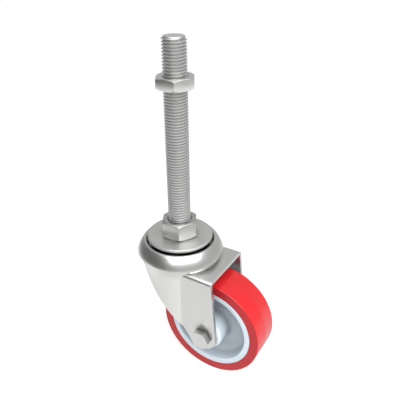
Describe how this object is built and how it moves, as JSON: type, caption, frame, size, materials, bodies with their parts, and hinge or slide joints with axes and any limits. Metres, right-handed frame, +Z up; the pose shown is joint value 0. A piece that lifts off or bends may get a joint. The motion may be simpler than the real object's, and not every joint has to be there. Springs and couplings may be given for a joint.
{
  "type": "swivel castor",
  "caption": "Swivel castor with a long threaded stem, two hexagon nuts, a ball-bearing swivel head, a pressed steel fork and a red polyurethane wheel.",
  "frame": {"origin": "on the swivel axis, at the top face of the cover disc", "axes": "+Z up along the stem, +X towards the trailing wheel, Y along the wheel's axle"},
  "size_m": [0.1045, 0.0684, 0.2473],
  "materials": {
    "stem_steel": "satin zinc-plated steel",
    "sheet_steel": "satin pressed steel sheet",
    "race_steel": "hardened steel, lightly greased",
    "ball_steel": "polished hardened steel",
    "insert_nylon": "natural nylon",
    "dark_nylon": "matt black nylon",
    "core_nylon": "smooth moulded nylon, pale blue-grey",
    "red_polyurethane": "smooth cast polyurethane, red"
  },
  "bodies": {
    "stem": {"stem_bolt": "stem_steel", "clamp_nut": "stem_steel", "cover_disc": "sheet_steel", "upper_race": "race_steel", "king_sleeve": "race_steel", "lower_race": "race_steel"},
    "lock_nut": {"lock_nut": "stem_steel"},
    "swivel_fork": {"fork": "sheet_steel", "collar": "sheet_steel", "axle_bolt": "stem_steel", "axle_nut": "stem_steel", "nut_insert": "insert_nylon", "axle_washer": "stem_steel", "axle_tube": "race_steel", "near_thrust_washer": "insert_nylon", "far_thrust_washer": "insert_nylon"},
    "upper_ball_row": {"upper_balls": "ball_steel"},
    "lower_ball_row": {"lower_balls": "ball_steel"},
    "wheel": {"wheel_core": "core_nylon", "tyre": "red_polyurethane"},
    "roller_bearing": {"roller_cage": "dark_nylon", "rollers": "ball_steel"}
  },
  "joints": [
    {"name": "swivel", "type": "hinge", "parent": "stem", "child": "swivel_fork", "pos_m": [0, 0, 0], "axis": [0, 0, 1], "continuous": true},
    {"name": "wheel_spin", "type": "hinge", "parent": "swivel_fork", "child": "wheel", "pos_m": [0.0325, 0, -0.0673], "axis": [0, 1, 0], "continuous": true},
    {"name": "lock_nut_travel", "type": "slide", "parent": "stem", "child": "lock_nut", "axis": [0, 0, 1], "range_m": [-0.0945, 0.024]},
    {"name": "upper_ball_orbit", "type": "hinge", "parent": "stem", "child": "upper_ball_row", "pos_m": [0, 0, 0], "axis": [0, 0, 1], "continuous": true},
    {"name": "lower_ball_orbit", "type": "hinge", "parent": "stem", "child": "lower_ball_row", "pos_m": [0, 0, 0], "axis": [0, 0, 1], "continuous": true},
    {"name": "roller_orbit", "type": "hinge", "parent": "swivel_fork", "child": "roller_bearing", "pos_m": [0.0325, 0, -0.0673], "axis": [0, 1, 0], "continuous": true}
  ],
  "couplings": [
    {"joint": "upper_ball_orbit", "follows": "swivel", "ratio": 0.5},
    {"joint": "lower_ball_orbit", "follows": "swivel", "ratio": 0.5},
    {"joint": "roller_orbit", "follows": "wheel_spin", "ratio": 0.6}
  ]
}
